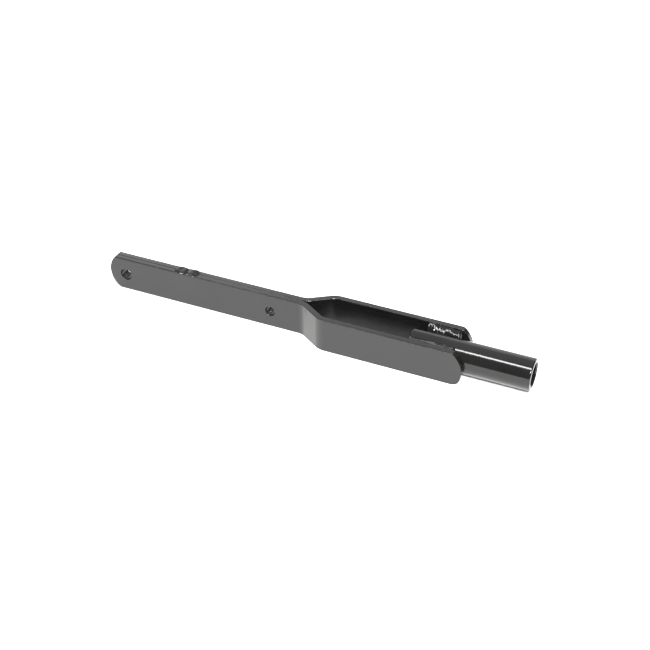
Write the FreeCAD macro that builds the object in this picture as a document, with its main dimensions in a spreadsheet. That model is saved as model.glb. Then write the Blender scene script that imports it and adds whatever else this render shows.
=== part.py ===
import FreeCAD, Part
import math
import os
import Sketcher
from FreeCAD import Vector

# A gate opener arm: two flat bars on edge, back to back at the pivot end, joggled apart into a
# fork whose tips hold a threaded tube. X runs along the arm from the pivot hole, Y across it,
# with Y = 0 where the two bars touch, and Z is up. Lengths are in millimetres.

doc = FreeCAD.newDocument("GateOpenerArm")
sheet = doc.addObject("Spreadsheet::Sheet", "Sizes")

sizes = {
    # flat bar
    "bar_height": 38.1,
    "bar_thickness": 6.35,
    "edge_radius": 0.8,
    # joggle of each bar
    "fork_gap": 34.925,
    "bend_start": 205.5,
    "bend_radius": 18.0,
    "bend_angle": 33.5,
    # rounded ends of the bars
    "tail_reach": 19.7,
    "tail_radius": 25.0,
    "tail_rise": 2.0,
    "near_tip_reach": 388.5,
    "far_tip_reach": 386.5,
    "tip_radius": 30.0,
    "tip_high_corner": 5.0,
    "tip_low_corner": 10.0,
    "tip_drop": 4.0,
    # cross holes
    "pivot_diameter": 13.5,
    "lock_diameter": 11.1,
    "lock_reach": 173.7,
    # threaded tube
    "tube_radius": 16.7,
    "tube_start": 328.0,
    "tube_length": 127.0,
    "tube_rounding": 1.6,
    "bore_radius": 11.1,
    "mouth_radius": 13.5,
    "mouth_depth": 2.4,
    # V weld along the seam of the bars
    "seam_weld_start": 60.0,
    "seam_weld_length": 28.0,
    "seam_weld_depth": 3.0,
    "seam_weld_width": 12.0,
    "seam_weld_face": 10.9,
    # fillet welds between tube and bars
    "far_weld_start": 338.0,
    "far_weld_length": 39.0,
    "far_weld_angle": 52.7,
    "far_weld_toe": 17.2,
    "near_weld_start": 329.0,
    "near_weld_length": 49.0,
    "near_weld_angle": 60.0,
    "near_weld_toe": 18.1,
    "tube_weld_root": 6.0,
    "tube_weld_face": 9.0,
}
for row, (alias, value) in enumerate(sizes.items(), start=1):
    sheet.set(f"A{row}", alias)
    sheet.set(f"B{row}", str(value))
    sheet.setAlias(f"B{row}", alias)
doc.recompute()

barTop = sizes["bar_height"] / 2
past = 5.0  # how far the rough bar and the cutting outlines run past the finished ends


def newBody(label):
    body = doc.addObject("PartDesign::Body", label)
    body.Label = label
    return body


def newSketch(body, name, planeRole, shiftSize=None):
    plane = next(item for item in body.Origin.OriginFeatures if item.Role == planeRole)
    sketch = body.newObject("Sketcher::SketchObject", f"{body.Name}_{name}")
    sketch.AttachmentSupport = [(plane, "")]
    sketch.MapMode = "FlatFace"
    if shiftSize:
        sketch.setExpression("AttachmentOffset.Base.z", shiftSize)
    return sketch


def newFeature(body, kind, name, sketch):
    feature = body.newObject(f"PartDesign::{kind}", f"{body.Name}_{name}")
    feature.Profile = sketch
    return feature


def line(sketch, start, end):
    return sketch.addGeometry(Part.LineSegment(Vector(*start, 0), Vector(*end, 0)), False)


def arc(sketch, centre, radius, startAngle, endAngle):
    circle = Part.Circle(Vector(*centre, 0), Vector(0, 0, 1), radius)
    return sketch.addGeometry(Part.ArcOfCircle(circle, startAngle, endAngle), False)


def join(sketch, pairs, kind="Coincident"):
    for first, firstEnd, second, secondEnd in pairs:
        sketch.addConstraint(Sketcher.Constraint(kind, first, firstEnd, second, secondEnd))


def orient(sketch, kind, lines):
    for item in lines:
        sketch.addConstraint(Sketcher.Constraint(kind, item))


def dimension(sketch, name, kind, refs, value, size):
    index = sketch.addConstraint(Sketcher.Constraint(kind, *refs, value))
    sketch.renameConstraint(index, name)
    sketch.setExpression(f"Constraints.{name}", size)


# ties one end (3 is an arc's centre) to its distances from the sketch's origin
def place(sketch, name, item, end, acrossSize=None, upSize=None):
    point = sketch.getPoint(item, end)
    if acrossSize:
        dimension(sketch, f"{name}_across", "DistanceX", (-1, 1, item, end), point.x, acrossSize)
    if upSize:
        dimension(sketch, f"{name}_up", "DistanceY", (-1, 1, item, end), point.y, upSize)


# One bar's plan: its seam face and its outer face follow the same joggle, one thickness apart.
# The side is -1 for the near bar and +1 for the far one.
def drawPlan(sketch, side, tipSize):
    thick = sizes["bar_thickness"]
    turn = math.radians(sizes["bend_angle"])
    radius = sizes["bend_radius"]
    offset = sizes["fork_gap"] / 2
    slantLength = (offset - 2 * radius * (1 - math.cos(turn))) / math.sin(turn)
    bendX = sizes["bend_start"]
    forkX = bendX + 2 * radius * math.sin(turn) + slantLength * math.cos(turn)
    tailX = -sizes["tail_reach"] - past
    tipX = sizes[tipSize] + past
    firstCentre = (bendX, side * (radius + thick / 2))
    secondCentre = (forkX, side * (offset + thick / 2 - radius))
    towards = -side * math.pi / 2  # from the first bend's centre to the bar
    away = -towards

    def bend(centre, reach, edgeAngle):
        ends = (edgeAngle, edgeAngle + side * turn)
        return arc(sketch, centre, reach, min(ends), max(ends))

    def slantPoint(centre, reach, way):
        across = way * reach * math.sin(turn)
        return (centre[0] + across, centre[1] - side * way * reach * math.cos(turn))

    wide = radius + thick / 2
    tight = radius - thick / 2
    inner, outer = (
        {
            "pair": line(sketch, (tailX, seamY), (bendX, seamY)),
            "first": bend(firstCentre, firstReach, towards),
            "slant": line(
                sketch,
                slantPoint(firstCentre, firstReach, 1),
                slantPoint(secondCentre, secondReach, -1),
            ),
            "second": bend(secondCentre, secondReach, away),
            "fork": line(sketch, (forkX, forkY), (tipX, forkY)),
        }
        for seamY, forkY, firstReach, secondReach in (
            (0.0, side * offset, wide, tight),
            (side * thick, side * (offset + thick), tight, wide),
        )
    )
    tail = line(sketch, (tailX, 0), (tailX, side * thick))
    tip = line(sketch, (tipX, side * offset), (tipX, side * (offset + thick)))

    # an arc runs anticlockwise, so which of its ends meets the straight depends on the side
    level, sloped = (1, 2) if side > 0 else (2, 1)
    for face in (inner, outer):
        smooth = (
            (face["pair"], 2, face["first"], level),
            (face["first"], sloped, face["slant"], 1),
            (face["slant"], 2, face["second"], sloped),
            (face["second"], level, face["fork"], 1),
        )
        join(sketch, smooth, "Tangent")
    join(sketch, ((inner["pair"], 1, tail, 1), (outer["pair"], 1, tail, 2)))
    join(sketch, ((inner["fork"], 2, tip, 1), (outer["fork"], 2, tip, 2)))
    join(sketch, ((inner[bend], 3, outer[bend], 3) for bend in ("first", "second")))
    orient(sketch, "Horizontal", (inner["pair"], inner["fork"], outer["pair"], outer["fork"]))
    orient(sketch, "Vertical", (tail, tip))
    sketch.addConstraint(Sketcher.Constraint("Parallel", inner["slant"], outer["slant"]))
    sketch.addConstraint(Sketcher.Constraint("PointOnObject", inner["pair"], 1, -1))
    place(sketch, "bend", inner["pair"], 2, "Sizes.bend_start")
    place(sketch, "tail", tail, 1, f"-Sizes.tail_reach - {past}")
    place(sketch, "tip", tip, 1, f"Sizes.{tipSize} + {past}", f"{side} * Sizes.fork_gap / 2")
    outside = "Sizes.bend_radius + Sizes.bar_thickness / 2"
    inside = "Sizes.bend_radius - Sizes.bar_thickness / 2"
    dimension(sketch, "first_wide", "Radius", (inner["first"],), wide, outside)
    dimension(sketch, "first_tight", "Radius", (outer["first"],), tight, inside)
    dimension(sketch, "second_tight", "Radius", (inner["second"],), tight, inside)
    slope = f"{side} * Sizes.bend_angle * 1 deg"
    dimension(sketch, "slope", "Angle", (inner["slant"],), side * turn, slope)


# Waste beyond the pivot end: what lies outside one shallow arc.
def drawTailWaste(sketch):
    radius = sizes["tail_radius"]
    rise = sizes["tail_rise"]
    centreX = radius - sizes["tail_reach"]
    high = barTop + past / 2
    outX = -sizes["tail_reach"] - 2 * past
    topAngle = math.asin((high - rise) / radius)
    bottomAngle = math.asin((high + rise) / radius)
    rim = arc(sketch, (centreX, rise), radius, math.pi - topAngle, math.pi + bottomAngle)
    top = line(sketch, (centreX - radius * math.cos(topAngle), high), (outX, high))
    back = line(sketch, (outX, high), (outX, -high))
    bottom = line(sketch, (outX, -high), (centreX - radius * math.cos(bottomAngle), -high))
    join(sketch, ((rim, 1, top, 1), (top, 2, back, 1), (back, 2, bottom, 1), (bottom, 2, rim, 2)))
    orient(sketch, "Horizontal", (top, bottom))
    orient(sketch, "Vertical", (back,))
    highSize = f"Sizes.bar_height / 2 + {past / 2}"
    place(sketch, "rim", rim, 3, "Sizes.tail_radius - Sizes.tail_reach", "Sizes.tail_rise")
    place(sketch, "high", back, 1, f"-Sizes.tail_reach - {2 * past}", highSize)
    place(sketch, "low", back, 2, None, f"-({highSize})")
    dimension(sketch, "rim_radius", "Radius", (rim,), radius, "Sizes.tail_radius")


# Waste beyond a fork tip: what lies outside a shallow arc, centred a little below the bar's
# middle, with a small arc at each corner.
def drawTipWaste(sketch, tipSize):
    radius = sizes["tip_radius"]
    drop = sizes["tip_drop"]
    lowEase, highEase = sizes["tip_low_corner"], sizes["tip_high_corner"]
    centreX = sizes[tipSize] - radius
    lowSwing = math.asin((barTop - lowEase - drop) / (radius - lowEase))
    highSwing = math.asin((barTop - highEase + drop) / (radius - highEase))
    lowX = centreX + (radius - lowEase) * math.cos(lowSwing)
    highX = centreX + (radius - highEase) * math.cos(highSwing)
    high = barTop + past / 2
    outX = sizes[tipSize] + 2 * past
    rim = arc(sketch, (centreX, -drop), radius, -lowSwing, highSwing)
    lowCorner = arc(sketch, (lowX, lowEase - barTop), lowEase, -math.pi / 2, -lowSwing)
    highCorner = arc(sketch, (highX, barTop - highEase), highEase, highSwing, math.pi / 2)
    stops = [(lowX, -barTop), (lowX, -high), (outX, -high)]
    stops += [(outX, high), (highX, high), (highX, barTop)]
    frame = [line(sketch, start, end) for start, end in zip(stops, stops[1:])]
    join(sketch, ((lowCorner, 2, rim, 1), (rim, 2, highCorner, 1)), "Tangent")
    join(sketch, ((lowCorner, 1, frame[0], 1), (frame[-1], 2, highCorner, 2)))
    join(sketch, ((first, 2, second, 1) for first, second in zip(frame, frame[1:])))
    orient(sketch, "Vertical", frame[0::2])
    orient(sketch, "Horizontal", frame[1::2])
    for corner, edgeEnd in ((lowCorner, 1), (highCorner, 2)):
        sketch.addConstraint(Sketcher.Constraint("Vertical", corner, edgeEnd, corner, 3))
    place(sketch, "rim", rim, 3, f"Sizes.{tipSize} - Sizes.tip_radius", "-Sizes.tip_drop")
    place(sketch, "low_edge", lowCorner, 1, None, "-Sizes.bar_height / 2")
    place(sketch, "high_edge", highCorner, 2, None, "Sizes.bar_height / 2")
    highSize = f"Sizes.bar_height / 2 + {past / 2}"
    place(sketch, "low", frame[2], 1, f"Sizes.{tipSize} + {2 * past}", f"-({highSize})")
    place(sketch, "high", frame[2], 2, None, highSize)
    dimension(sketch, "rim_radius", "Radius", (rim,), radius, "Sizes.tip_radius")
    dimension(sketch, "low_radius", "Radius", (lowCorner,), lowEase, "Sizes.tip_low_corner")
    dimension(sketch, "high_radius", "Radius", (highCorner,), highEase, "Sizes.tip_high_corner")


def drawHoles(sketch):
    for name, reach in (("pivot", 0.0), ("lock", sizes["lock_reach"])):
        bore = sizes[f"{name}_diameter"]
        ring = Part.Circle(Vector(reach, 0, 0), Vector(0, 0, 1), bore / 2)
        hole = sketch.addGeometry(ring, False)
        place(sketch, name, hole, 3, "Sizes.lock_reach" if reach else "0", "0")
        dimension(sketch, f"{name}_bore", "Diameter", (hole,), bore, f"Sizes.{name}_diameter")


# The V groove for a seam weld; way is +1 on the bars' upper edges and -1 on the lower ones.
def drawGroove(sketch, way):
    depth = sizes["seam_weld_depth"]
    root = (0, way * (barTop - depth))
    left = (-depth, way * barTop)
    right = (depth, way * barTop)
    sides = [line(sketch, *ends) for ends in ((root, right), (right, left), (left, root))]
    join(sketch, ((sides[i], 2, sides[(i + 1) % 3], 1) for i in range(3)))
    edge = f"{way} * Sizes.bar_height / 2"
    place(sketch, "root", sides[0], 1, "0", f"{edge} - {way} * Sizes.seam_weld_depth")
    place(sketch, "right", sides[1], 1, "Sizes.seam_weld_depth", edge)
    place(sketch, "left", sides[2], 1, "-Sizes.seam_weld_depth", edge)


# The upper bead fills the groove, covers the flats beside it and is crowned.
def drawCrownedSeam(sketch):
    depth = sizes["seam_weld_depth"]
    half = sizes["seam_weld_width"] / 2
    radius = sizes["seam_weld_face"]
    stops = [(-half, barTop), (-depth, barTop), (0, barTop - depth), (depth, barTop), (half, barTop)]
    lines = [line(sketch, start, end) for start, end in zip(stops, stops[1:])]
    swing = math.asin(half / radius)
    centre = (0, barTop - radius * math.cos(swing))
    face = arc(sketch, centre, radius, math.pi / 2 - swing, math.pi / 2 + swing)
    join(sketch, ((first, 2, second, 1) for first, second in zip(lines, lines[1:])))
    join(sketch, ((lines[-1], 2, face, 1), (face, 2, lines[0], 1)))
    edge = "Sizes.bar_height / 2"
    place(sketch, "left", lines[0], 1, "-Sizes.seam_weld_width / 2", edge)
    place(sketch, "groove_left", lines[1], 1, "-Sizes.seam_weld_depth", edge)
    place(sketch, "root", lines[2], 1, "0", f"{edge} - Sizes.seam_weld_depth")
    place(sketch, "groove_right", lines[3], 1, "Sizes.seam_weld_depth", edge)
    place(sketch, "right", lines[3], 2, "Sizes.seam_weld_width / 2", edge)
    dimension(sketch, "face", "Radius", (face,), radius, "Sizes.seam_weld_face")


# A fillet bead's section in the nook between the tube and one bar's inner face. Its side is
# -1 near or +1 far, and its way is +1 above the tube's axis or -1 below it.
def drawTubeWeld(sketch, side, way, prefix):
    gap = sizes["fork_gap"] / 2
    radius = sizes["tube_radius"]
    root = sizes["tube_weld_root"]
    toe = sizes[f"{prefix}_toe"]
    toeAngle = math.radians(sizes[f"{prefix}_angle"])
    faceRadius = sizes["tube_weld_face"]
    rootAngle = math.asin(root / radius)

    def turned(angle):
        return math.atan2(way * math.sin(angle), side * math.cos(angle)) % (2 * math.pi)

    # on the tube, from its toe to the root, and the crowned face back from the bar's toe
    tubeToe = Vector(side * radius * math.cos(toeAngle), way * radius * math.sin(toeAngle), 0)
    barToe = Vector(side * gap, way * toe, 0)
    chord = barToe - tubeToe
    outward = Vector(-chord.y, chord.x, 0).normalize() * side * way
    centre = (tubeToe + barToe) / 2 - outward * math.sqrt(faceRadius**2 - (chord.Length / 2) ** 2)
    ends = sorted((turned(toeAngle), turned(rootAngle)))
    seat = arc(sketch, (0, 0), radius, *(ends if ends[1] - ends[0] < math.pi else ends[::-1]))
    swing = math.asin(chord.Length / 2 / faceRadius)
    crownAngle = math.atan2(outward.y, outward.x)
    face = arc(sketch, (centre.x, centre.y), faceRadius, crownAngle - swing, crownAngle + swing)
    flank = line(sketch, (side * gap, way * toe), (side * gap, way * root))
    foot = line(sketch, (side * gap, way * root), (side * radius * math.cos(rootAngle), way * root))

    # arcs run anticlockwise, which swaps their ends from one corner of the fork to the next
    seatToe, seatRoot, faceTube, faceBar = (2, 1, 2, 1) if side * way > 0 else (1, 2, 1, 2)
    join(sketch, ((seat, seatToe, face, faceTube), (face, faceBar, flank, 1)))
    join(sketch, ((flank, 2, foot, 1), (foot, 2, seat, seatRoot), (seat, 3, -1, 1)))
    orient(sketch, "Vertical", (flank,))
    orient(sketch, "Horizontal", (foot,))
    toeSize = f"{side} * Sizes.tube_radius * cos(Sizes.{prefix}_angle * 1 deg)"
    place(sketch, "seat_toe", seat, seatToe, toeSize)
    place(sketch, "bar_toe", flank, 1, f"{side} * Sizes.fork_gap / 2", f"{way} * Sizes.{prefix}_toe")
    place(sketch, "root", flank, 2, None, f"{way} * Sizes.tube_weld_root")
    dimension(sketch, "seat", "Radius", (seat,), radius, "Sizes.tube_radius")
    dimension(sketch, "face", "Radius", (face,), faceRadius, "Sizes.tube_weld_face")


# Half of the tube's section, above its axis, with eased rims and a countersunk bore.
def drawTubeHalf(sketch):
    start = sizes["tube_start"]
    end = start + sizes["tube_length"]
    outer = sizes["tube_radius"]
    bore = sizes["bore_radius"]
    mouth = sizes["mouth_radius"]
    depth = sizes["mouth_depth"]
    ease = sizes["tube_rounding"]
    stops = [(start, outer - ease), (start, mouth), (start + depth, bore), (end - depth, bore)]
    stops += [(end, mouth), (end, outer - ease)]
    lines = [line(sketch, first, second) for first, second in zip(stops, stops[1:])]
    endEase = arc(sketch, (end - ease, outer - ease), ease, 0, math.pi / 2)
    top = line(sketch, (end - ease, outer), (start + ease, outer))
    startEase = arc(sketch, (start + ease, outer - ease), ease, math.pi / 2, math.pi)
    join(sketch, ((first, 2, second, 1) for first, second in zip(lines, lines[1:])))
    smooth = ((lines[-1], 2, endEase, 1), (endEase, 2, top, 1), (top, 2, startEase, 1))
    join(sketch, smooth + ((startEase, 2, lines[0], 1),), "Tangent")
    orient(sketch, "Vertical", (lines[0], lines[-1]))
    orient(sketch, "Horizontal", (top, lines[2]))
    sketch.addConstraint(Sketcher.Constraint("Equal", startEase, endEase))
    endSize = "Sizes.tube_start + Sizes.tube_length"
    place(sketch, "mouth_in", lines[1], 1, "Sizes.tube_start", "Sizes.mouth_radius")
    place(sketch, "bore_in", lines[2], 1, "Sizes.tube_start + Sizes.mouth_depth", "Sizes.bore_radius")
    place(sketch, "bore_out", lines[2], 2, f"{endSize} - Sizes.mouth_depth")
    place(sketch, "mouth_out", lines[3], 2, endSize, "Sizes.mouth_radius")
    place(sketch, "top", top, 1, None, "Sizes.tube_radius")
    dimension(sketch, "ease", "Radius", (startEase,), ease, "Sizes.tube_rounding")


# Edges that run along the bar at its upper and lower edges, on both faces.
def longEdges(shape):
    def alongRim(edge):
        box = edge.BoundBox
        return abs(abs(box.ZMin) - barTop) < 0.01 and box.ZLength < 0.01 and box.XLength > 1

    return [f"Edge{i}" for i, edge in enumerate(shape.Edges, start=1) if alongRim(edge)]


# A cut has to take material away: one that points off the bar removes nothing.
def cutPocket(body, name, sketch, midplane=True):
    before = body.Shape.Volume
    pocket = newFeature(body, "Pocket", name, sketch)
    if midplane:
        pocket.Type = "ThroughAll"
        pocket.Midplane = True
    else:
        pocket.Reversed = True
        pocket.setExpression("Length", "Sizes.seam_weld_length")
    body.Tip = pocket
    doc.recompute()
    if body.Shape.Volume >= before:
        raise ValueError(f"{pocket.Name} cuts nothing")


def makeStrap(label, side, tipSize):
    body = newBody(label)
    plan = newSketch(body, "plan", "XY_Plane")
    drawPlan(plan, side, tipSize)
    pad = newFeature(body, "Pad", "bar", plan)
    pad.Midplane = True
    pad.setExpression("Length", "Sizes.bar_height")
    doc.recompute()
    rounding = body.newObject("PartDesign::Fillet", f"{label}_rounding")
    rounding.Base = (pad, longEdges(pad.Shape))
    rounding.setExpression("Radius", "Sizes.edge_radius")
    body.Tip = rounding
    doc.recompute()
    cutters = (
        ("tail", lambda sketch: drawTailWaste(sketch)),
        ("tip", lambda sketch: drawTipWaste(sketch, tipSize)),
        ("holes", lambda sketch: drawHoles(sketch)),
    )
    for name, draw in cutters:
        sketch = newSketch(body, f"{name}_outline", "XZ_Plane")
        draw(sketch)
        cutPocket(body, name, sketch)
    for name, way in (("top_groove", 1), ("bottom_groove", -1)):
        sketch = newSketch(body, f"{name}_outline", "YZ_Plane", "Sizes.seam_weld_start")
        drawGroove(sketch, way)
        cutPocket(body, name, sketch, midplane=False)
    return body


def makeBead(label, startSize, lengthSize, draw):
    body = newBody(label)
    sketch = newSketch(body, "section", "YZ_Plane", startSize)
    draw(sketch)
    pad = newFeature(body, "Pad", "bead", sketch)
    pad.setExpression("Length", lengthSize)
    return body


def makeTubeWeld(label, side, way):
    prefix = "far_weld" if side > 0 else "near_weld"
    return makeBead(
        label,
        f"Sizes.{prefix}_start",
        f"Sizes.{prefix}_length",
        lambda sketch: drawTubeWeld(sketch, side, way, prefix),
    )


def makeTube():
    body = newBody("threaded_tube")
    sketch = newSketch(body, "half_section", "XZ_Plane")
    drawTubeHalf(sketch)
    turning = newFeature(body, "Revolution", "turning", sketch)
    turning.ReferenceAxis = (sketch, ["H_Axis"])
    turning.Angle = 360
    return body


seamSizes = ("Sizes.seam_weld_start", "Sizes.seam_weld_length")
subParts = [
    makeStrap("near_strap", -1, "near_tip_reach"),
    makeStrap("far_strap", 1, "far_tip_reach"),
    makeTube(),
    makeBead("seam_weld_top", *seamSizes, drawCrownedSeam),
    makeBead("seam_weld_bottom", *seamSizes, lambda sketch: drawGroove(sketch, -1)),
    makeTubeWeld("tube_weld_far_top", 1, 1),
    makeTubeWeld("tube_weld_near_top", -1, 1),
    makeTubeWeld("tube_weld_far_bottom", 1, -1),
    makeTubeWeld("tube_weld_near_bottom", -1, -1),
]
doc.recompute()

for item in doc.Objects:
    if {"Invalid", "Error"} & set(item.State):
        raise ValueError(f"{item.Name} failed: {item.State}")
for sketch in doc.findObjects("Sketcher::SketchObject"):
    if sketch.ConflictingConstraints or sketch.RedundantConstraints or not sketch.FullyConstrained:
        raise ValueError(f"{sketch.Name} is not fully and singly constrained")
os.makedirs("parts", exist_ok=True)
for body in subParts:
    shape = body.Shape
    if shape.isNull() or not shape.isValid() or len(shape.Solids) != 1:
        raise ValueError(f"{body.Label} is not one valid solid")
    shape.exportStep(f"parts/{body.Label}.step")
    print(body.Label, round(shape.Volume / 1000, 2), "cm3", shape.BoundBox)
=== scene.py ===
import math

import bpy
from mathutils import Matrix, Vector, noise


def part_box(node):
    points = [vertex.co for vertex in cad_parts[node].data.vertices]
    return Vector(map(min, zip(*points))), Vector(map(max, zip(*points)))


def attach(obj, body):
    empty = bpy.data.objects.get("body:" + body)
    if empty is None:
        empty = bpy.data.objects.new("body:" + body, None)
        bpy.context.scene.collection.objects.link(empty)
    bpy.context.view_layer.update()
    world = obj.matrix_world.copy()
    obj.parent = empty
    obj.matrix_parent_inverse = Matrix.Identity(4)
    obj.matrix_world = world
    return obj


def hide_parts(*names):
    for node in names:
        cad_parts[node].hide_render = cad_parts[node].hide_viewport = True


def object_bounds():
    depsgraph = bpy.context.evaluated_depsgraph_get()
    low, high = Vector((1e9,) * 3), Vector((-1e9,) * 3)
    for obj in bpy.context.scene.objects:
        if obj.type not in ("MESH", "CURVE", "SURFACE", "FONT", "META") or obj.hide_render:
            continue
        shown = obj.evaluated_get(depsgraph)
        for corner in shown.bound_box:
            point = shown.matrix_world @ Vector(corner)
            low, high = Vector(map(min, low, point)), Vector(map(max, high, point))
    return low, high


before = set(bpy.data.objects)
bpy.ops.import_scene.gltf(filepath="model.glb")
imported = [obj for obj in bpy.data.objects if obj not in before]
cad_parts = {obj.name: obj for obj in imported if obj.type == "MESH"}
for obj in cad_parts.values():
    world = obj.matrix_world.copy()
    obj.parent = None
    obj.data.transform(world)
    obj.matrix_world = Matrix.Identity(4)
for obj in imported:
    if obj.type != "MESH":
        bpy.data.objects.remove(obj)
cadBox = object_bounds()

mm = 0.001
nearLow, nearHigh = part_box("near_strap")
tubeLow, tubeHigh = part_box("threaded_tube")
barTop = nearHigh.z
tubeRadius = (tubeHigh.y - tubeLow.y) / 2
barThickness = 6.35 * mm
forkHalfGap = -nearLow.y - barThickness


def deselectAll():
    if bpy.context.mode != "OBJECT":
        bpy.ops.object.mode_set(mode="OBJECT")
    bpy.ops.object.select_all(action="DESELECT")


def onlySelect(piece):
    deselectAll()
    piece.select_set(True)
    bpy.context.view_layer.objects.active = piece


def fresh(name):
    piece = bpy.context.object
    piece.name = name
    piece.data.name = name
    bpy.ops.object.transform_apply(location=True, rotation=True, scale=True)
    return piece


# goes into edit mode with only the vertices, edges or faces that pass the test selected
def selectParts(piece, kind, test):
    onlySelect(piece)
    mesh = piece.data
    for group in (mesh.vertices, mesh.edges, mesh.polygons):
        group.foreach_set("select", [False] * len(group))
    if kind == "FACE":
        for face in mesh.polygons:
            face.select = test(face.center, face.normal)
    elif kind == "EDGE":
        for edge in mesh.edges:
            edge.select = test(*(mesh.vertices[i].co for i in edge.vertices))
    else:
        for vertex in mesh.vertices:
            vertex.select = test(vertex.co)
    # set before edit mode starts, because an older select mode would widen the choice
    modes = [kind == mode for mode in ("VERT", "EDGE", "FACE")]
    bpy.context.tool_settings.mesh_select_mode = modes
    bpy.ops.object.mode_set(mode="EDIT")


def everything(*parts):
    return True


def near(value, target, reach=0.02 * mm):
    return abs(value - target) < reach


def endEdit():
    bpy.ops.object.mode_set(mode="OBJECT")


def applyModifier(piece, kind, **settings):
    onlySelect(piece)
    modifier = piece.modifiers.new(kind.title(), kind)
    for key, value in settings.items():
        setattr(modifier, key, value)
    bpy.ops.object.modifier_apply(modifier=modifier.name)


def cutAway(piece, cutter):
    applyModifier(piece, "BOOLEAN", operation="DIFFERENCE", solver="EXACT", object=cutter)
    bpy.data.objects.remove(cutter)


# closes round ends that run to a point, then shades by angle
def smoothFinish(piece, angle):
    selectParts(piece, "VERT", everything)
    bpy.ops.mesh.remove_doubles(threshold=0.002 * mm)
    endEdit()
    bpy.ops.object.shade_smooth_by_angle(angle=math.radians(angle))
    evening = {"mode": "FACE_AREA_WITH_ANGLE", "weight": 100, "keep_sharp": True}
    applyModifier(piece, "WEIGHTED_NORMAL", **evening)


strapSizes = {
    "edgeRound": 0.5 * mm,
    "roundSegments": 3,
    "bendStart": 205.5 * mm,
    "bendRadius": 18.0 * mm,  # to the middle of the bar
    "bendAngle": math.radians(33.5),
    "bendSteps": 14,
    "tailRadius": 25.0 * mm,
    "tailRise": 2.0 * mm,
    "tailSteps": 24,
    "tipRadius": 30.0 * mm,
    "tipHighCorner": 5.0 * mm,
    "tipLowCorner": 10.0 * mm,
    "tipDrop": 4.0 * mm,
    "cornerSteps": 8,
    "rimSteps": 12,
    "pivotHole": 6.75 * mm,
    "lockHole": 5.55 * mm,
    "lockReach": 173.7 * mm,
    "holeRound": 0.35 * mm,
    "holeSteps": 64,
    "sharpAngle": math.radians(30),
    "smoothAngle": 35,
}


def tailOutline(tailX):
    radius, rise, steps = (strapSizes[size] for size in ("tailRadius", "tailRise", "tailSteps"))
    low = math.asin((-barTop - rise) / radius)
    high = math.asin((barTop - rise) / radius)
    turns = [low + (high - low) * i / steps for i in range(steps + 1)]
    centreX = tailX + radius
    return [(centreX - radius * math.cos(turn), rise + radius * math.sin(turn)) for turn in turns]


def tipOutline(tipX):
    radius, drop = strapSizes["tipRadius"], strapSizes["tipDrop"]
    cornerSteps, rimSteps = strapSizes["cornerSteps"], strapSizes["rimSteps"]
    centreX = tipX - radius

    # from the tip's foremost point round the upper (1) or lower (-1) corner
    def half(way):
        corner = strapSizes["tipHighCorner" if way > 0 else "tipLowCorner"]
        cornerZ = barTop - corner
        swing = math.asin((cornerZ + way * drop) / (radius - corner))
        cornerX = centreX + (radius - corner) * math.cos(swing)
        points = []
        for i in range(1, rimSteps + 1):
            turn = swing * i / rimSteps
            points.append((centreX + radius * math.cos(turn), way * radius * math.sin(turn) - drop))
        for i in range(1, cornerSteps + 1):
            turn = swing + (math.pi / 2 - swing) * i / cornerSteps
            z = way * (cornerZ + corner * math.sin(turn))
            points.append((cornerX + corner * math.cos(turn), z))
        return points

    return half(-1)[::-1] + [(tipX, -drop)] + half(1)


# cuts the two upright edges at one end and lays the new corners along an outline
def roundEnd(piece, endX, outline):
    def upright(a, b):
        return near(a.x, endX) and near(b.x, endX) and abs(a.z - b.z) > mm

    selectParts(piece, "EDGE", upright)
    bpy.ops.mesh.subdivide(number_cuts=len(outline) - 2)
    endEdit()
    ends = [v for v in piece.data.vertices if near(v.co.x, endX)]
    for level in {round(v.co.y, 6) for v in ends}:
        column = sorted((v for v in ends if near(v.co.y, level)), key=lambda v: v.co.z)
        for vertex, (x, z) in zip(column, outline):
            vertex.co.x, vertex.co.z = x, z


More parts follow.
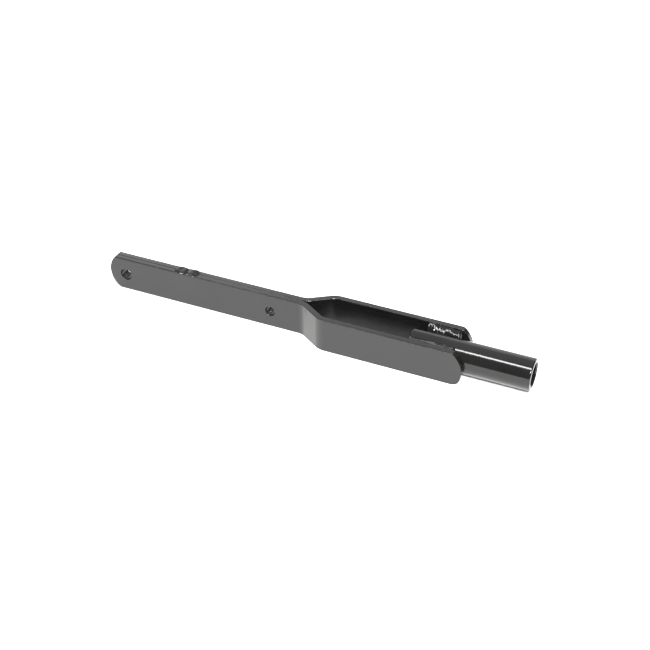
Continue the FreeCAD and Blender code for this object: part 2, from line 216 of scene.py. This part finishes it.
def makeStrap(node, name, side):
    low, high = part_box(node)
    turn = strapSizes["bendAngle"]
    radius = strapSizes["bendRadius"]
    bendX = strapSizes["bendStart"]
    slant = (forkHalfGap - 2 * radius * (1 - math.cos(turn))) / math.sin(turn)
    forkX = bendX + 2 * radius * math.sin(turn) + slant * math.cos(turn)
    deselectAll()
    bpy.ops.mesh.primitive_cube_add(
        size=1,
        location=((low.x + bendX) / 2, side * barThickness / 2, 0),
        scale=(bendX - low.x, barThickness, 2 * barTop),
    )
    strap = fresh(name)
    selectParts(strap, "FACE", lambda centre, normal: normal.x > 0.9)
    steps = strapSizes["bendSteps"]
    spinWay = -1  # with no window the spin runs the other way
    bpy.ops.mesh.spin(
        steps=steps,
        angle=spinWay * side * turn,
        center=(bendX, side * (radius + barThickness / 2), 0),
        axis=(0, 0, 1),
    )
    bpy.ops.mesh.extrude_region_move(
        TRANSFORM_OT_translate={"value": (slant * math.cos(turn), side * slant * math.sin(turn), 0)}
    )
    bpy.ops.mesh.spin(
        steps=steps,
        angle=-spinWay * side * turn,
        center=(forkX, side * (forkHalfGap + barThickness / 2 - radius), 0),
        axis=(0, 0, 1),
    )
    bpy.ops.mesh.extrude_region_move(TRANSFORM_OT_translate={"value": (high.x - forkX, 0, 0)})
    endEdit()
    roundEnd(strap, low.x, tailOutline(low.x))
    roundEnd(strap, high.x, tipOutline(high.x))
    applyModifier(
        strap, "BEVEL", width=strapSizes["edgeRound"], segments=strapSizes["roundSegments"],
        limit_method="ANGLE", angle_limit=strapSizes["sharpAngle"],
    )
    for reach, hole in ((0, "pivotHole"), (strapSizes["lockReach"], "lockHole")):
        drillHole(strap, reach, strapSizes[hole], side)
    for edgeZ in (barTop, -barTop):
        cutSeamGroove(strap, edgeZ)
    # keeps slivers out of the faces beside the grooves
    applyModifier(strap, "TRIANGULATE", min_vertices=5, ngon_method="BEAUTY")
    smoothFinish(strap, strapSizes["smoothAngle"])
    return strap


def drillHole(strap, reach, radius, side):
    deselectAll()
    bpy.ops.mesh.primitive_cylinder_add(
        vertices=strapSizes["holeSteps"], radius=radius, depth=4 * barThickness,
        location=(reach, side * barThickness / 2, 0), rotation=(math.pi / 2, 0, 0),
    )
    cutAway(strap, fresh("drill"))

    def onRim(a, b):
        onBore = all(near(math.hypot(c.x - reach, c.z), radius, 0.1 * mm) for c in (a, b))
        return onBore and near(a.y, b.y)

    selectParts(strap, "EDGE", onRim)
    segments = strapSizes["roundSegments"]
    bpy.ops.mesh.bevel(offset=strapSizes["holeRound"], segments=segments, affect="EDGES")
    endEdit()


def cutSeamGroove(strap, edgeZ):
    low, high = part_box("seam_weld_bottom")
    deselectAll()
    bpy.ops.mesh.primitive_cylinder_add(
        vertices=4, radius=(high.y - low.y) / 2, depth=high.x - low.x,
        location=((low.x + high.x) / 2, 0, edgeZ), rotation=(0, math.pi / 2, 0),
    )
    cutAway(strap, fresh("grooveCutter"))


tubeSizes = {
    "rimRound": 1.6 * mm,
    "rimSegments": 7,
    "minorRadius": 11.1 * mm,
    "majorRadius": 12.8 * mm,
    "pitch": 3.175 * mm,
    "flankAngle": math.radians(30),
    "mouthRadius": 13.5 * mm,
    "mouthDepth": 2.4 * mm,
    "aroundSteps": 96,
    "threadSteps": 64,
    "sharpAngle": math.radians(60),
    "smoothAngle": 30,
}


# one long tap that runs three turns past each end of the tube
def makeTap():
    pitch, steps = tubeSizes["pitch"], tubeSizes["threadSteps"]
    minor, major = tubeSizes["minorRadius"], tubeSizes["majorRadius"]
    flank = (major - minor) * math.tan(tubeSizes["flankAngle"])
    crest = pitch / 4
    root = pitch - crest - 2 * flank
    profile = [(0, minor), (crest, minor), (crest + flank, major), (crest + flank + root, major)]
    profile.append((pitch, minor))
    spareTurns = 3
    startX = tubeLow.x - spareTurns * pitch
    turns = math.ceil((tubeHigh.x - tubeLow.x) / pitch) + 2 * spareTurns
    deselectAll()
    bpy.ops.mesh.primitive_circle_add(vertices=len(profile), radius=minor, fill_type="NOTHING")
    tap = fresh("tap")
    for vertex, (along, out) in zip(tap.data.vertices, profile):
        vertex.co = (startX + along, 0, out)
    selectParts(tap, "EDGE", lambda a, b: near(abs(a.x - b.x), pitch))
    bpy.ops.mesh.delete(type="EDGE_FACE")
    endEdit()
    applyModifier(
        tap, "SCREW", axis="X", angle=2 * math.pi, screw_offset=pitch, iterations=turns,
        steps=steps, render_steps=steps, use_merge_vertices=True, merge_threshold=0.01 * mm,
    )
    selectParts(tap, "VERT", everything)
    bpy.ops.mesh.remove_doubles(threshold=0.01 * mm)
    bpy.ops.mesh.select_all(action="DESELECT")
    bpy.ops.mesh.select_non_manifold()
    bpy.ops.mesh.fill_holes(sides=0)
    bpy.ops.mesh.select_all(action="SELECT")
    bpy.ops.mesh.normals_make_consistent(inside=False)
    endEdit()
    return tap


def makeTube():
    length = tubeHigh.x - tubeLow.x
    deselectAll()
    bpy.ops.mesh.primitive_cylinder_add(
        vertices=tubeSizes["aroundSteps"], radius=tubeRadius, depth=length,
        location=((tubeLow.x + tubeHigh.x) / 2, 0, 0), rotation=(0, math.pi / 2, 0),
    )
    tube = fresh("tube_threaded")
    applyModifier(
        tube, "BEVEL", width=tubeSizes["rimRound"], segments=tubeSizes["rimSegments"],
        limit_method="ANGLE", angle_limit=tubeSizes["sharpAngle"],
    )
    cutAway(tube, makeTap())
    mouth, depth = tubeSizes["mouthRadius"], tubeSizes["mouthDepth"]
    slope = (mouth - tubeSizes["minorRadius"]) / depth
    for faceX, way in ((tubeHigh.x, 1), (tubeLow.x, -1)):
        deselectAll()
        bpy.ops.mesh.primitive_cone_add(
            vertices=tubeSizes["aroundSteps"], radius1=mouth + slope * depth,
            radius2=mouth - slope * depth, depth=2 * depth,
            location=(faceX, 0, 0), rotation=(0, -way * math.pi / 2, 0),
        )
        cutAway(tube, fresh("countersink"))
    smoothFinish(tube, tubeSizes["smoothAngle"])
    return tube


beadSizes = {
    "rings": 100,
    "faceShare": 0.75,  # of each ring, the rest being buried
    "smoothAngle": 60,
    "lumpStretch": 1.6,
    "rippleRise": 0.6,
    "rippleDrop": 0.25,
    "rippleGain": 1.6,
}


# a closed cylinder along X whose rings are reshaped: section(along, across) gives y and z on the
# bead's face and hidden(along, back) on its buried side, with all of them from 0 to 1
def makeBead(name, startX, endX, section, hidden, around=56):
    rings, faceShare = beadSizes["rings"], beadSizes["faceShare"]
    deselectAll()
    bpy.ops.mesh.primitive_cylinder_add(
        vertices=around, radius=mm, depth=endX - startX,
        location=((startX + endX) / 2, 0, 0), rotation=(0, math.pi / 2, 0),
    )
    bead = fresh(name)
    selectParts(bead, "EDGE", lambda a, b: abs(a.x - b.x) > mm)
    bpy.ops.mesh.subdivide(number_cuts=rings)
    endEdit()
    for vertex in bead.data.vertices:
        along = (vertex.co.x - startX) / (endX - startX)
        turn = (math.atan2(vertex.co.z, vertex.co.y) / (2 * math.pi)) % 1
        if turn <= faceShare:
            y, z = section(along, turn / faceShare)
        else:
            y, z = hidden(along, (turn - faceShare) / (1 - faceShare))
        vertex.co.y, vertex.co.z = y, z
    selectParts(bead, "FACE", everything)
    bpy.ops.mesh.normals_make_consistent(inside=False)
    endEdit()
    smoothFinish(bead, beadSizes["smoothAngle"])
    return bead


# 1 along the bead and falling to 0 at its two round ends
def roundedEnds(along, length, endLength):
    gap = min(along, 1 - along) * length / endLength
    return math.sqrt(max(0.0, 1 - (1 - min(gap, 1)) ** 2))


# the crescent edges that each puddle leaves, steep on one side
def ripple(x, across, pitch, bow):
    phase = (x / pitch + bow * (2 * across - 1) ** 2) % 1
    rise, drop = phase ** beadSizes["rippleRise"], (1 - phase) ** beadSizes["rippleDrop"]
    return rise * drop * beadSizes["rippleGain"]


def lumps(x, across, size, seed):
    return noise.noise(Vector((x / size, across * beadSizes["lumpStretch"], seed)))


tubeWeldSizes = {
    "ripplePitch": 3.4 * mm,
    "rippleDepth": 0.28 * mm,
    "rippleBow": 0.45,
    "lumpSize": 8 * mm,
    "blobLength": 5 * mm,
    "toeWander": 0.8 * mm,
    "toeWanderAngle": 0.07,
    "sectionSwing": math.radians(196),  # past a half turn, so both toes tuck under
    "archPower": 0.75,
    "thinnest": 0.3 * mm,
    "topGap": 0.1 * mm,
    "nookInset": 1.0 * mm,
    "nookHeight": 0.45,  # of the tube's radius
    "endLength": 3.5 * mm,
    "bury": 0.5 * mm,
    "far": {
        "toeAngle": math.radians(52), "barToe": 17.9 * mm, "fall": 1.6 * mm, "crown": 1.3 * mm,
        "lumpDepth": 0.75 * mm, "startBlob": 0.5 * mm,
    },
    "near": {
        "toeAngle": math.radians(63), "barToe": 18.7 * mm, "fall": 0.2 * mm, "crown": 0.8 * mm,
        "lumpDepth": 0.9 * mm, "startBlob": 0.4 * mm,
    },
}


def makeTubeWeld(node, name, side, way, seed):
    low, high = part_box(node)
    sizes = tubeWeldSizes
    own = sizes["far" if side > 0 else "near"]
    length = high.x - low.x
    bury = sizes["bury"]

    def anchors(along):
        x = along * length
        angle = own["toeAngle"] + sizes["toeWanderAngle"] * lumps(x, 0, sizes["lumpSize"], seed + 7)
        tubeToe = Vector((0, tubeRadius * math.cos(angle), tubeRadius * math.sin(angle)))
        rise = own["barToe"] + own["fall"] * (0.5 - along)
        rise += sizes["toeWander"] * lumps(x, 0, sizes["lumpSize"] * 0.7, seed + 3)
        barToe = Vector((0, forkHalfGap, min(rise, barTop - sizes["topGap"])))
        nook = Vector((0, forkHalfGap - sizes["nookInset"], tubeRadius * sizes["nookHeight"]))
        return x, tubeToe, barToe, nook

    def shrink(point, nook, along):
        return nook.lerp(point, roundedEnds(along, length, sizes["endLength"]))

    def section(along, across):
        x, tubeToe, barToe, nook = anchors(along)
        chord = barToe - tubeToe
        outward = Vector((0, -chord.z, chord.y)).normalized()
        turn = sizes["sectionSwing"] * (across - 0.5)
        spot = tubeToe.lerp(barToe, 0.5 + 0.5 * math.sin(turn))
        height = own["crown"] + own["lumpDepth"] * lumps(x, across, sizes["lumpSize"], seed)
        waves = ripple(x, across, sizes["ripplePitch"], sizes["rippleBow"])
        height += sizes["rippleDepth"] * (waves - 0.5)
        height += own["startBlob"] * math.exp(-((x / sizes["blobLength"]) ** 2))
        height = max(height, sizes["thinnest"])
        arch = math.copysign(abs(math.cos(turn)) ** sizes["archPower"], math.cos(turn))
        spot = shrink(spot + outward * height * arch, nook, along)
        return side * spot.y, way * min(spot.z, barTop)

    def hidden(along, back):
        _, tubeToe, barToe, nook = anchors(along)
        inBar = barToe + Vector((0, bury, -bury))
        inTube = tubeToe * (1 - bury / tubeRadius)
        spot = inBar.lerp(nook + Vector((0, bury, 0)), min(back * 2, 1))
        if back > 0.5:
            spot = (nook + Vector((0, bury, 0))).lerp(inTube, back * 2 - 1)
        spot = shrink(spot, nook, along)
        return side * spot.y, way * spot.z

    return makeBead(name, low.x, high.x, section, hidden)


seamWeldSizes = {
    "lobes": ((0.0, 15.0 * mm, 1.0), (14.2 * mm, 28.0 * mm, 1.0)),  # start, end, height
    "lobeFall": 0.3,  # how far each lobe sinks along its length
    "lobeSquareness": 2.6,
    "neck": 0.02,  # least height between and beyond the lobes
    "spanGain": 1.5,
    "topGap": 0.02 * mm,
    "sideGap": 0.2 * mm,
    "topAround": 200,
    "ripplePitch": 3.0 * mm,
    "rippleDepth": 0.22 * mm,
    "rippleBow": 0.5,
    "wanderLength": 5 * mm,
    "lumpSize": 7 * mm,
    "lumpShare": 0.35,
    "rippleShare": 0.12,
    "lowestShare": 0.3,
    "frontRun": 3.4 * mm,
    "backRun": 1.6 * mm,
    "bury": 0.8 * mm,
    "rootGap": 0.05 * mm,
    "sink": 0.12 * mm,  # of the lower bead under the bars' edges
    "dish": 0.25 * mm,
    "rootLift": 0.4 * mm,
    "overlap": 1.05,
}


# the upper bead's two puddles, sloped at the front and steep at the back
def makeSeamWeldTop():
    low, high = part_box("seam_weld_top")
    sizes = seamWeldSizes
    length = high.x - low.x
    crown = high.z - barTop - sizes["topGap"]
    halfWidth = barThickness - sizes["sideGap"]

    def lobe(along):
        best = sizes["neck"]
        for start, end, height in sizes["lobes"]:
            run = (along * length - start) / (end - start)
            swell = max(0.0, 1 - abs(2 * run - 1) ** sizes["lobeSquareness"])
            best = max(best, height * (1 - sizes["lobeFall"] * run) * math.sqrt(swell))
        return best

    def halfSpan(along):
        return halfWidth * min(1, lobe(along) * sizes["spanGain"])

    def section(along, across):
        x = along * length
        forward = 2 * across - 1
        width = halfSpan(along) * (0.96 + 0.08 * lumps(x, 0, sizes["wanderLength"], 4))
        run = sizes["frontRun" if forward > 0 else "backRun"]
        inset = min(width * (1 - abs(forward)) / run, 1)
        rise = math.sin(inset * math.pi / 2) if forward > 0 else math.sqrt(1 - (1 - inset) ** 2)
        waves = ripple(x, across, sizes["ripplePitch"], sizes["rippleBow"])
        height = 0.9 + sizes["lumpShare"] * lumps(x, across, sizes["lumpSize"], 2.5) * rise
        height -= sizes["rippleShare"] * (1 - waves) * rise
        height = crown * max(sizes["lowestShare"], min(height, 1)) * lobe(along)
        return -width * forward, barTop + height * rise

    def hidden(along, back):
        edge = halfSpan(along) * 0.97 * (2 * back - 1)
        return edge, barTop - sizes["bury"] * math.sin(math.pi * back) - sizes["rootGap"]

    around = seamWeldSizes["topAround"]
    return makeBead("weld_seam_top", low.x, high.x, section, hidden, around)


# the lower bead lies flush in its groove, so the arm rests on the bars
def makeSeamWeldBottom():
    low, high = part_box("seam_weld_bottom")
    sizes = seamWeldSizes
    length = high.x - low.x
    halfWidth = (high.y - low.y) / 2

    def section(along, across):
        waves = ripple(along * length, across, sizes["ripplePitch"], sizes["rippleBow"])
        sink = sizes["sink"] + sizes["rippleDepth"] * waves
        sink += sizes["dish"] * (1 - math.sin(math.pi * across))
        return halfWidth * (1 - 2 * across) * sizes["overlap"], sink - barTop

    def hidden(along, back):
        lift = (high.z - low.z) * (1 - abs(2 * back - 1))
        across = halfWidth * (2 * back - 1) * sizes["overlap"]
        return across, sizes["rootLift"] + lift - barTop

    return makeBead("weld_seam_bottom", low.x, high.x, section, hidden)


# shader maths written as expressions
class Sum:
    def __init__(self, tree, socket):
        self.tree, self.socket = tree, socket

    def mix(self, operation, other, swapped=False):
        node = self.tree.nodes.new("ShaderNodeMath")
        node.operation = operation
        for i, value in enumerate((other, self) if swapped else (self, other)):
            if isinstance(value, Sum):
                self.tree.links.new(value.socket, node.inputs[i])
            else:
                node.inputs[i].default_value = value
        return Sum(self.tree, node.outputs[0])

    def __add__(self, other):
        return self.mix("ADD", other)

    def __sub__(self, other):
        return self.mix("SUBTRACT", other)

    def __mul__(self, other):
        return self.mix("MULTIPLY", other)

    def __rsub__(self, other):
        return self.mix("SUBTRACT", other, True)

    __radd__ = __add__
    __rmul__ = __mul__


class Paint:
    def __init__(self, name):
        self.material = bpy.data.materials.new(name)
        self.material.use_nodes = True
        self.tree = self.material.node_tree
        self.shader = self.tree.nodes["Principled BSDF"]

    def node(self, kind, settings=None, inputs=None, output=0):
        made = self.tree.nodes.new(kind)
        for key, value in (settings or {}).items():
            if key == "stops":
                ramp = made.color_ramp.elements
                while len(ramp) < len(value):
                    ramp.new(0.5)
                for element, (place, tone) in zip(ramp, value):
                    element.position, element.color = place, (*tone, 1)
            else:
                setattr(made, key, value)
        for key, value in (inputs or {}).items():
            if isinstance(value, Sum):
                self.tree.links.new(value.socket, made.inputs[key])
            else:
                made.inputs[key].default_value = value
        return Sum(self.tree, made.outputs[output])

    def feed(self, socket, value):
        self.tree.links.new(value.socket, self.shader.inputs[socket])


paintSizes = {
    "dark": (0.0036, 0.0036, 0.0035),
    "light": (0.0060, 0.0059, 0.0057),
    "cloudScale": 22,
    "fineScale": 900,
    "peelScale": 420,
    "sagScale": 34,
    "nibScale": 160,
    "nibReach": 0.12,
    "glossDrift": 0.05,
}


def makePaint(name, roughness, peelDepth, refraction):
    paint = Paint(name)
    place = paint.node("ShaderNodeTexCoord", output=3)

    def cloudy(scale, detail):
        values = {"Vector": place, "Scale": scale, "Detail": detail}
        return paint.node("ShaderNodeTexNoise", {}, values)

    cloud = cloudy(paintSizes["cloudScale"], 3)
    fine = cloudy(paintSizes["fineScale"], 2)
    peel = cloudy(paintSizes["peelScale"], 1)
    sag = cloudy(paintSizes["sagScale"], 2)
    nibValues = {"Vector": place, "Scale": paintSizes["nibScale"]}
    nib = paint.node("ShaderNodeTexVoronoi", {}, nibValues)
    stops = [(0.3, paintSizes["dark"]), (0.7, paintSizes["light"])]
    paint.feed("Base Color", paint.node("ShaderNodeValToRGB", {"stops": stops}, {"Fac": cloud}))
    drift = paintSizes["glossDrift"]
    paint.feed("Roughness", roughness + drift * (cloud - 0.5) + drift * (fine - 0.5))
    speckRange = {"From Min": 0.0, "From Max": paintSizes["nibReach"], "To Min": 1.0, "To Max": 0.0}
    speck = paint.node("ShaderNodeMapRange", {}, {"Value": nib, **speckRange})
    height = peel * peelDepth + sag * (peelDepth * 6) + speck * (peelDepth * 1.2)
    bumpValues = {"Strength": 1.0, "Distance": mm, "Height": height}
    paint.feed("Normal", paint.node("ShaderNodeBump", {}, bumpValues))
    paint.shader.inputs["IOR"].default_value = refraction
    return paint.material


# roughness, depth of the orange peel in mm, index of refraction
strapPaint = makePaint("barPaint", 0.18, 0.005, 1.5)
tubePaint = makePaint("tubePaint", 0.12, 0.003, 1.45)
weldPaint = makePaint("weldPaint", 0.12, 0.003, 1.4)

straps = [makeStrap("near_strap", "strap_near", -1), makeStrap("far_strap", "strap_far", 1)]
print("straps done")
tube = makeTube()
print("tube done")
welds = [(makeSeamWeldTop(), "seam_weld_top"), (makeSeamWeldBottom(), "seam_weld_bottom")]
# which weld, far (1) or near (-1) bar, upper (1) or lower (-1) side, seed of its lumps
for part, side, way, seed in (
    ("far_top", 1, 1, 1.3),
    ("near_top", -1, 1, 5.1),
    ("far_bottom", 1, -1, 8.6),
    ("near_bottom", -1, -1, 11.2),
):
    node = f"tube_weld_{part}"
    welds.append((makeTubeWeld(node, f"weld_tube_{part}", side, way, seed), node))
print("welds done")

painted = [
    (straps[0], "near_strap", strapPaint, "bar_paint"),
    (straps[1], "far_strap", strapPaint, "bar_paint"),
    (tube, "threaded_tube", tubePaint, "tube_paint"),
]
painted += [(weld, node, weldPaint, "weld_paint") for weld, node in welds]
for piece, node, material, slotName in painted:
    for shown in (piece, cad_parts[node]):
        shown.data.materials.clear()
        shown.data.materials.append(material)
    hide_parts(node)
    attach(piece, "root")

studio = {
    "floorSize": 8.0,
    "floorTone": (0.86, 0.86, 0.855, 1),
    "ambient": 0.2,
    # name, direction, distance, width and height, radiance, point it is aimed at
    "softBoxes": (
        ("stripLight", (-0.10, -0.29, 0.95), 1.3, (0.56, 0.2), 32, (0.46, -0.055, 0)),
        ("sideStripLight", (-0.10, -0.29, 0.95), 1.3, (0.42, 0.16), 31, (-0.16, 0.16, 0)),
        ("keyLight", (0.30, -0.60, 0.74), 2.0, (0.5, 0.6), 122, (0.3, 0, 0)),
        ("backLight", (-0.15, 0.93, 0.36), 2.2, (3.6, 1.5), 1.25, (0.3, 0, 0)),
        ("leftLight", (-0.68, 0.62, 0.48), 2.6, (1.5, 1.2), 0.7, (0.3, 0, 0)),
        ("ceilingLight", (-0.2, 0.35, 0.91), 2.0, (3.2, 1.7), 0.75, (0.3, 0, 0)),
    ),
}


def makeFloor():
    deselectAll()
    bpy.ops.mesh.primitive_plane_add(size=studio["floorSize"], location=(0.2, 0, cadBox[0].z))
    floor = fresh("floor")
    material = bpy.data.materials.new("floorPaper")
    material.use_nodes = True
    shader = material.node_tree.nodes["Principled BSDF"]
    shader.inputs["Base Color"].default_value = studio["floorTone"]
    shader.inputs["Roughness"].default_value = 0.9
    shader.inputs["Specular IOR Level"].default_value = 0.1
    floor.data.materials.append(material)


def addSoftBox(name, towards, distance, size, radiance, aim):
    light = bpy.data.lights.new(name, "AREA")
    light.shape = "RECTANGLE"
    light.size, light.size_y = size
    light.energy = radiance * math.pi * size[0] * size[1]
    holder = bpy.data.objects.new(name, light)
    back = Vector(towards).normalized()
    holder.location = Vector(aim) + back * distance
    holder.rotation_euler = (-back).to_track_quat("-Z", "Y").to_euler()
    bpy.context.scene.collection.objects.link(holder)


def makeLights():
    for softBox in studio["softBoxes"]:
        addSoftBox(*softBox)
    world = bpy.data.worlds.new("studio")
    bpy.context.scene.world = world
    world.use_nodes = True
    tree = world.node_tree
    backdrop = tree.nodes["Background"]
    backdrop.inputs["Color"].default_value = (1, 1, 1, 1)
    backdrop.inputs["Strength"].default_value = studio["ambient"]
    # the backdrop behind the floor looks white and lights the arm only weakly
    seen = tree.nodes.new("ShaderNodeBackground")
    seen.inputs["Color"].default_value = (1, 1, 1, 1)
    path = tree.nodes.new("ShaderNodeLightPath")
    blend = tree.nodes.new("ShaderNodeMixShader")
    tree.links.new(path.outputs["Is Camera Ray"], blend.inputs[0])
    tree.links.new(backdrop.outputs[0], blend.inputs[1])
    tree.links.new(seen.outputs[0], blend.inputs[2])
    tree.links.new(blend.outputs[0], tree.nodes["World Output"].inputs["Surface"])


cameraSetup = {
    "azimuth": math.radians(23.519),
    "elevation": math.radians(36.206),
    "distance": 1.2301,
    "aim": (0.2335, 0, -0.00458),
    "lens": 65.92,
    "sensorWidth": 36,
    "clip": (0.05, 50),
}


def makeCamera():
    across, up = cameraSetup["azimuth"], cameraSetup["elevation"]
    level = math.cos(up)
    back = Vector((math.sin(across) * level, -math.cos(across) * level, math.sin(up)))
    lens = bpy.data.cameras.new("camera")
    lens.lens = cameraSetup["lens"]
    lens.sensor_width = cameraSetup["sensorWidth"]
    lens.clip_start, lens.clip_end = cameraSetup["clip"]
    camera = bpy.data.objects.new("camera", lens)
    camera.location = Vector(cameraSetup["aim"]) + back * cameraSetup["distance"]
    camera.rotation_euler = (-back).to_track_quat("-Z", "Y").to_euler()
    bpy.context.scene.collection.objects.link(camera)
    bpy.context.scene.camera = camera


makeFloor()
makeLights()
makeCamera()
bpy.context.scene.view_settings.view_transform = "Standard"
print("studio done")
